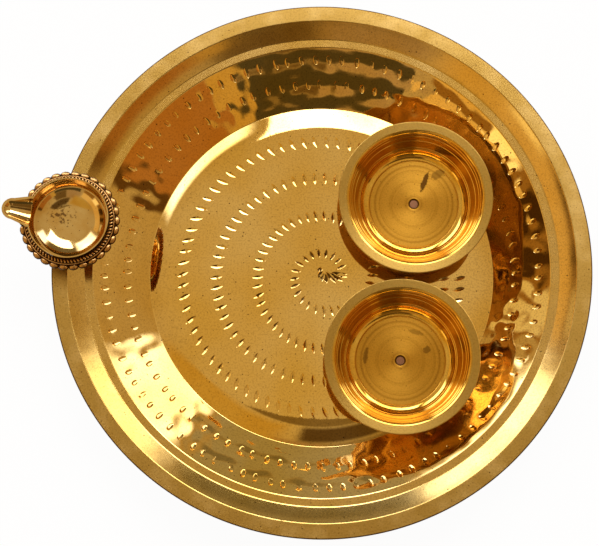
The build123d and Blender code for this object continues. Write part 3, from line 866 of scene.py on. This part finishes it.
# %% [markdown]
# ## The bowls
#
# Each bowl is a thick casting, turned inside and out. Its section has a lip that is dished a
# little, with a rounded inner edge, grooves under that edge and near the floor where the lathe
# tool was changed, a cove, and a floor with a sunk seat for the rivet. All of it is one closed
# section and one spin.

# %% Bowls
BOWL_RADIUS, BOWL_MOUTH, BOWL_BEVEL, LIP_DISH = 39.0, 35.0, 0.9, 0.24
BOWL_WALL, BOWL_COVE, BOWL_BOTTOM = 1.4, 4.0, 1.8
LIP_THICKNESS, LIP_ROUND = 1.3, 0.4
SEAT_DEPTH, SEAT_BEVEL = 0.9, 0.7
QUARTER_RISE_SHARE = 1 - math.cos(math.pi / 4)
# Grooves: where they are, as shares of the way outwards and upwards, and their width and depth.
FLOOR_GROOVES, WALL_GROOVES = ((0.965,), 0.6, 0.2), ((0.05, 0.15, 0.55, 0.80, 0.94), 0.6, 0.22)
BOWL_STEPS = 192


def bowl_section(lip_z):
    floor_z, under_z = FLOOR_Z + BOWL_BOTTOM, lip_z - LIP_THICKNESS
    foot = (BOWL_FLOOR_RADIUS + BOWL_COVE, floor_z + BOWL_COVE)
    throat, mouth = (BOWL_THROAT, lip_z - BOWL_BEVEL - LIP_DISH), (BOWL_MOUTH, lip_z - LIP_DISH)
    seat_edge = SEAT_RADIUS + SEAT_BEVEL
    seat = [(RIVET_BORE, FLOOR_Z), (RIVET_BORE, floor_z - SEAT_DEPTH), (SEAT_RADIUS, floor_z - SEAT_DEPTH),
            (SEAT_RADIUS, floor_z - SEAT_BEVEL / 2)]
    floor_line = grooved((seat_edge, floor_z), (BOWL_FLOOR_RADIUS, floor_z), *FLOOR_GROOVES)
    cove = arc(floor_line[-1], foot, -BOWL_COVE * QUARTER_RISE_SHARE, 8)
    wall_line = grooved(foot, throat, *WALL_GROOVES)
    mouth_lean = math.atan2(mouth[1] - throat[1], mouth[0] - throat[0])
    mouth_round = arc(throat, mouth, tangent_rise(throat, mouth, mouth_lean), 6)
    edge_top = arc((BOWL_RADIUS - LIP_ROUND, lip_z), (BOWL_RADIUS, lip_z - LIP_ROUND),
                   LIP_ROUND * QUARTER_RISE_SHARE, 4)
    edge_foot = arc((BOWL_RADIUS, under_z + LIP_ROUND), (BOWL_RADIUS - LIP_ROUND, under_z),
                    LIP_ROUND * QUARTER_RISE_SHARE, 4)
    outside = [(BOWL_THROAT + BOWL_WALL, under_z), (foot[0] + BOWL_WALL, foot[1]),
               (BOWL_FLOOR_RADIUS + BOWL_WALL, FLOOR_Z), (RIVET_BORE, FLOOR_Z)]
    return seat + floor_line + cove[1:] + wall_line[1:-1] + mouth_round + edge_top + edge_foot + outside


for name, centre in bowl_places.items():
    bm = bmesh.new()
    turn_section(bm, bowl_section(top_of(name)), centre, BOWL_STEPS)
    bowl = finish_piece(bm, name.replace("_", "_turned_"), bowl_metals[name])
    weigh_normals(bowl)
    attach(bowl, name)
    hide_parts(name)
    print(bowl.name, "faces:", len(bowl.data.polygons))

# %% [markdown]
# ## The lamp's cup
#
# The lamp is a small round cup with a boat-shaped spout that carries the wick. A founder would
# cast it over a core, so the mesh joins two outside bodies, cup and spout, and then takes out
# two hollow ones. The inside has a tall band with turned lines, a small ledge, and a shallow dish
# that works as a mirror. The spout is turned round an axis above the lip and cut off at its plane.

# %% Sections of the lamp cup
LAMP_RADIUS, LAMP_MOUTH, LAMP_BAND, LAMP_LEDGE, DISH_FLOOR = 20.0, 19.4, 17.9, 17.5, 7.0
BAND_DEPTH, CUP_DEPTH = 11.0, 14.8
NECK_RADIUS, NECK_DROP, SKIRT_HEIGHT = 19.52, 5.0, 4.0
FOOT_RADIUS, FOOT_HEIGHT = 8.5, 1.5
SCREW_BORE_DEPTH = 3.9
BAND_LINES = ((0.55, 0.72, 0.88), 0.5, 0.16)
SPOUT_REACH, SPOUT_ROOT, SPOUT_TIP, SPOUT_AXIS_RISE, SPOUT_WALL = 32.8, 8.2, 6.1, 3.0, 1.1
CUP_STEPS, SPOUT_STEPS = 160, 72

edge_z, dish_z, neck_z = lamp_lip - BAND_DEPTH, lamp_lip - CUP_DEPTH, lamp_lip - NECK_DROP
foot_top = (FOOT_RADIUS, tray_height + FOOT_HEIGHT)
skirt_foot = (NECK_RADIUS, neck_z - SKIRT_HEIGHT)
bulge_lean = math.atan2(NECK_RADIUS - FOOT_RADIUS, skirt_foot[1] - foot_top[1])
outside = [(0, tray_height), (FOOT_RADIUS, tray_height)]
outside += arc(foot_top, skirt_foot, -tangent_rise(foot_top, skirt_foot, bulge_lean), 14)
outside += [(NECK_RADIUS, neck_z), (LAMP_RADIUS, lamp_lip), (0, lamp_lip)]
dish_ends = (DISH_FLOOR, dish_z), (LAMP_LEDGE, edge_z)
dish_lean = math.atan2(edge_z - dish_z, LAMP_LEDGE - DISH_FLOOR)
hollow = [(0, dish_z), (DISH_FLOOR / 2, dish_z)] + arc(*dish_ends, -tangent_rise(*dish_ends, dish_lean), 14)
hollow += grooved((LAMP_BAND, edge_z), (LAMP_MOUTH, lamp_lip), *BAND_LINES)
hollow += [(LAMP_MOUTH, lamp_lip + NECK_DROP), (0, lamp_lip + NECK_DROP)]
print("points outside:", len(outside), "and inside:", len(hollow))


# %% Lamp cup
WORN_EDGE, WORN_CORNER = 0.18, 50


def spout_body(name, wall, start, overshoot):
    """Spout with a straight root, a taper and a round tip, cut off at or above the lip's plane."""
    tip_x = SPOUT_REACH - math.sqrt(SPOUT_TIP ** 2 - SPOUT_AXIS_RISE ** 2)
    tip_radius = SPOUT_TIP - wall
    side = [(start, 0), (start, SPOUT_ROOT - wall), (LAMP_MOUTH, SPOUT_ROOT - wall)]
    side += [(tip_x + tip_radius * math.sin(turn), tip_radius * math.cos(turn))
             for turn in [math.pi / 2 * step / 12 for step in range(13)]]
    bm = bmesh.new()
    spin_line(bm, [(x, 0, -radius) for x, radius in side], ORIGIN, (1, 0, 0), SPOUT_STEPS, WELD)
    cut = bmesh.ops.bisect_plane(bm, geom=bm.verts[:] + bm.edges[:] + bm.faces[:], dist=0.0001,
                                 plane_co=(0, 0, overshoot - SPOUT_AXIS_RISE), plane_no=(0, 0, 1),
                                 clear_outer=True)
    rim = [part for part in cut["geom_cut"] if isinstance(part, bmesh.types.BMEdge)]
    bmesh.ops.contextual_create(bm, geom=rim)
    stand = Matrix.Translation((lamp_place + Vector((0, 0, lamp_lip + SPOUT_AXIS_RISE))) * MM)
    bmesh.ops.transform(bm, matrix=stand @ Matrix.Rotation(lamp_heading, 4, "Z") @ Matrix.Scale(MM, 4),
                        verts=bm.verts)
    return finish_piece(bm, name, bronze_cup)


def turned_body(name, section):
    bm = bmesh.new()
    turn_section(bm, section, lamp_place, CUP_STEPS)
    return finish_piece(bm, name, bronze_cup)


cup = turned_body("cup", outside)
cup_core = turned_body("cup_core", hollow)
spout_outside = spout_body("spout_outside", 0, LAMP_LEDGE, 0)
spout_core = spout_body("spout_core", SPOUT_WALL, 0, 1)
bm = bmesh.new()
add_pin(bm, screw_place, tray_height, SCREW_BORE, 2 * SCREW_BORE_DEPTH)
screw_core = finish_piece(bm, "screw_core", bronze_cup)
cut_and_join(cup, [("UNION", spout_outside), ("DIFFERENCE", cup_core), ("DIFFERENCE", spout_core),
                   ("DIFFERENCE", screw_core)])
smooth_piece(cup, 30)
worn = cup.modifiers.new("worn edges", "BEVEL")
worn.width = WORN_EDGE * MM
worn.segments = 2
worn.limit_method = "ANGLE"
worn.angle_limit = math.radians(WORN_CORNER)
weigh_normals(cup)
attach(cup, "lamp")
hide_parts("lamp_cup")
print("cup faces:", len(cup.data.polygons))

# %% [markdown]
# ## The lamp's collar
#
# A cast ring of ornament runs round the cup: an upper row of fine grains, a thin wire, and a
# lower row of round petals. The ring's body is one spin. The grains and petals repeat many
# times, so each is a copy of one ball of few faces, pressed out of round. Each point also stores
# how dark the bronze is painted there: patina and painted shade on the body, painted shade on
# the sides of grains and petals, and a painted highlight on their tops. The underside, which lies
# in shade, is painted a paler brown.

# %% Lamp collar
COLLAR_FOOT, COLLAR_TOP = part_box("lamp_collar")[0].z / MM, top_of("lamp_collar")
COLLAR_BORE, COLLAR_RADIUS = NECK_RADIUS + 0.05, 25.0
WIRE_RADIUS, WIRE_Z, WIRE_THICK = 22.1, COLLAR_TOP - 1.0, 0.35
PETAL_COUNT, PETAL_SIZE = 30, (1.7, 2.6, 1.4)
GRAIN_COUNT, GRAIN_SIZE, GRAIN_LEAN = 80, (1.2, 0.55, 0.55), math.radians(28)
GRAIN_RADIUS = (COLLAR_BORE + WIRE_RADIUS) / 2 + 0.05
BEAD_ROWS = (
    # count, distance from the lamp's axis, height, size, lean
    (GRAIN_COUNT, GRAIN_RADIUS, COLLAR_TOP - GRAIN_SIZE[2], GRAIN_SIZE, GRAIN_LEAN),
    (PETAL_COUNT, COLLAR_RADIUS - PETAL_SIZE[0], COLLAR_FOOT + PETAL_SIZE[2], PETAL_SIZE, 0.0),
)
# How dark each part is painted: a painted highlight on the tops, painted shade on the sides, patina and
# painted shade on the body, and the underside, which lies in shade, painted paler.
TOP_HIGHLIGHT, SIDE_SHADE, BODY_PATINA_AND_SHADE, UNDERSIDE_PAINTED_PALER = 0.0, 0.8, 0.7, 0.2
BEAD_BALL = ball_pattern(12)

bm = bmesh.new()
patina_and_shade_layer = bm.verts.layers.float.new("hollow")
body = [(COLLAR_BORE, COLLAR_FOOT), (COLLAR_BORE, COLLAR_TOP - 0.2), (COLLAR_BORE + 0.5, COLLAR_TOP - 0.35)]
body += [(WIRE_RADIUS - 0.6, WIRE_Z - 0.05), (WIRE_RADIUS + 0.4, WIRE_Z - 0.4)]
body += [(COLLAR_RADIUS - 1.1, COLLAR_FOOT + 2.0), (COLLAR_RADIUS - 1.3, COLLAR_FOOT), body[0]]
turn_section(bm, body, lamp_place, PETAL_COUNT * 4)
# The ring's body keeps patina and painted shade, and its underside, in shade, is painted paler.
for vert in bm.verts:
    vert[patina_and_shade_layer] = BODY_PATINA_AND_SHADE if vert.co.z > (COLLAR_FOOT + 0.1) * MM else UNDERSIDE_PAINTED_PALER
wire = [(WIRE_RADIUS + WIRE_THICK * math.cos(turn), WIRE_Z + WIRE_THICK * math.sin(turn))
        for turn in [math.tau * step / 8 for step in range(9)]]
turn_section(bm, wire, lamp_place, PETAL_COUNT * 4)


def add_bead(bm, bearing, radius, z, size, lean):
    """One grain or petal: a ball, pressed out of round, with a painted highlight on top and painted shade at
    its sides.
    """
    axes = Matrix.Rotation(bearing + lean, 3, "Z")
    centre = lamp_place + Vector((radius * math.cos(bearing), radius * math.sin(bearing), z))
    for vert in add_ball(bm, BEAD_BALL):
        # Painted highlight on the bead's top, painted shade on its sides, and its underside, in shade,
        # painted paler.
        side = SIDE_SHADE if vert.co.z > -0.1 else UNDERSIDE_PAINTED_PALER
        vert[patina_and_shade_layer] = TOP_HIGHLIGHT if vert.co.z > 0.65 else side
        vert.co = (centre + axes @ Vector([c * s for c, s in zip(vert.co, size)])) * MM


for count, radius, z, size, lean in BEAD_ROWS:
    for step in range(count):
        add_bead(bm, math.tau * step / count, radius, z, size, lean)
collar = finish_piece(bm, "collar", bronze_collar, 50)
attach(collar, "lamp")
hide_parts("lamp_collar")
print("collar faces:", len(collar.data.polygons))

# %% [markdown]
# ## The CAD pieces that stay
#
# Rivets, washers and the screw are already right as turned solids, so their CAD meshes stay and
# only take the new metals.

# %% Small pieces
for node, metal in (("upper_bowl_rivet", copper_rivet), ("lower_bowl_rivet", copper_rivet),
                    ("upper_rivet_washer", washer_brass), ("lower_rivet_washer", washer_brass),
                    ("lamp_screw_washer", washer_brass), ("lamp_screw", screw_brass)):
    small_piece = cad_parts[node]
    small_piece.data.materials.clear()
    small_piece.data.materials.append(metal)
    print(node, "->", metal.name)
